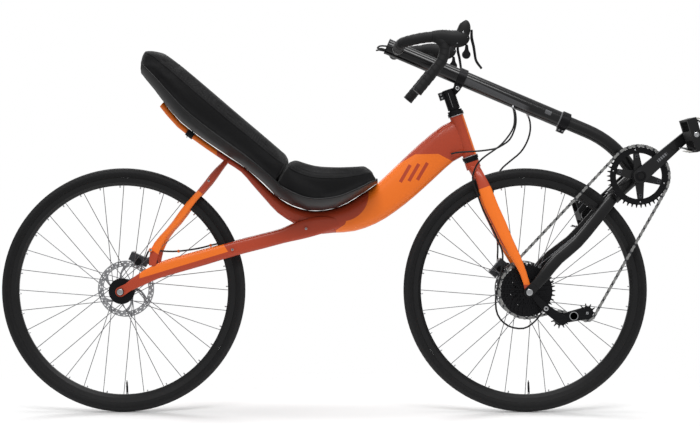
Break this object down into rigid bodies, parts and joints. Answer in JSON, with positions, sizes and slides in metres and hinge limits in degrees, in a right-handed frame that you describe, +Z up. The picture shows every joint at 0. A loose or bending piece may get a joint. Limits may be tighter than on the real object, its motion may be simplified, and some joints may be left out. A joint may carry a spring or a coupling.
{
  "type": "recumbent bicycle",
  "caption": "Front-wheel-drive recumbent bicycle: curved orange frame, reclined padded seat, drop bar on a long boom, steering front drive and spoked wheels with disc brakes",
  "frame": {"origin": "the rider's seat point, on top of the base cushion in the middle plane", "axes": "+X forward, +Y to the rider's left, +Z up"},
  "size_m": [1.9391, 0.466, 1.0826],
  "materials": {
    "orange_paint": "gloss orange over rust-red paint",
    "black_alloy": "black anodised",
    "black_paint": "satin black paint",
    "crank_finish": "dark grey anodised",
    "seat_shell_finish": "black moulded shell",
    "seat_fabric": "black padded mesh cover",
    "black_rubber": "black rubber and hose jacket",
    "strap_web": "black webbing",
    "tyre_rubber": "black tyre",
    "spoke_steel": "stainless steel",
    "disc_steel": "ground brake disc",
    "sprocket_steel": "black steel sprockets",
    "tape": "black bar tape",
    "black_plastic": "black moulded plastic"
  },
  "bodies": {
    "frame": {"main_frame": "orange_paint", "head_tube": "orange_paint", "headset_cups": "black_alloy", "chain_stays": "orange_paint", "seat_stays": "orange_paint", "seat_shell": "seat_shell_finish", "back_cushion": "seat_fabric", "base_cushion": "seat_fabric", "seat_strap": "strap_web", "rear_axle": "black_alloy", "rear_caliper": "black_alloy", "rear_brake_hose": "black_rubber"},
    "rear_wheel": {"rear_tyre": "tyre_rubber", "rear_rim": "black_alloy", "rear_spokes": "spoke_steel", "rear_hub": "black_alloy", "rear_disc": "disc_steel"},
    "steering": {"fork": "orange_paint", "steerer": "black_alloy", "boom_mount": "black_alloy", "boom_tube": "black_paint", "boom_clamps": "black_alloy", "boom_slider": "black_paint", "bracket_shell": "black_alloy", "drive_yoke": "black_paint", "drive_stays": "black_paint", "front_axle": "black_alloy", "handlebar": "black_alloy", "bar_tape": "tape", "lever_hoods": "black_rubber", "brake_levers": "black_alloy", "front_caliper": "black_alloy", "derailleur": "black_alloy", "pulleys": "black_plastic", "chain": "spoke_steel", "front_hoses": "black_rubber", "steering_hose": "black_rubber"},
    "front_wheel": {"front_tyre": "tyre_rubber", "front_rim": "black_alloy", "front_spokes": "spoke_steel", "front_hub": "black_alloy", "front_disc": "disc_steel", "cassette": "sprocket_steel"},
    "crankset": {"crank_spindle": "black_alloy", "right_crank": "crank_finish", "chainring": "crank_finish", "left_crank": "crank_finish"},
    "pedal_right": {"right_pedal": "black_plastic"},
    "pedal_left": {"left_pedal": "black_plastic"}
  },
  "joints": [
    {"name": "rear_wheel_spin", "type": "hinge", "parent": "frame", "child": "rear_wheel", "pos_m": [-0.598, 0, -0.338], "axis": [0, 1, 0], "continuous": true},
    {"name": "steer", "type": "hinge", "parent": "frame", "child": "steering", "pos_m": [0.358, 0, 0.096], "axis": [-0.3173, 0, 0.9483], "range_deg": [-40, 40], "deforming": ["steering_hose"]},
    {"name": "front_wheel_spin", "type": "hinge", "parent": "steering", "child": "front_wheel", "pos_m": [0.533, 0, -0.338], "axis": [0, 1, 0], "continuous": true},
    {"name": "crank_spin", "type": "hinge", "parent": "steering", "child": "crankset", "pos_m": [0.844, 0, -0.017], "axis": [0, 1, 0], "continuous": true},
    {"name": "right_pedal_spin", "type": "hinge", "parent": "crankset", "child": "pedal_right", "pos_m": [0.9723, 0, 0.09453], "axis": [0, 1, 0], "continuous": true},
    {"name": "left_pedal_spin", "type": "hinge", "parent": "crankset", "child": "pedal_left", "pos_m": [0.7157, 0, -0.12853], "axis": [0, 1, 0], "continuous": true}
  ]
}
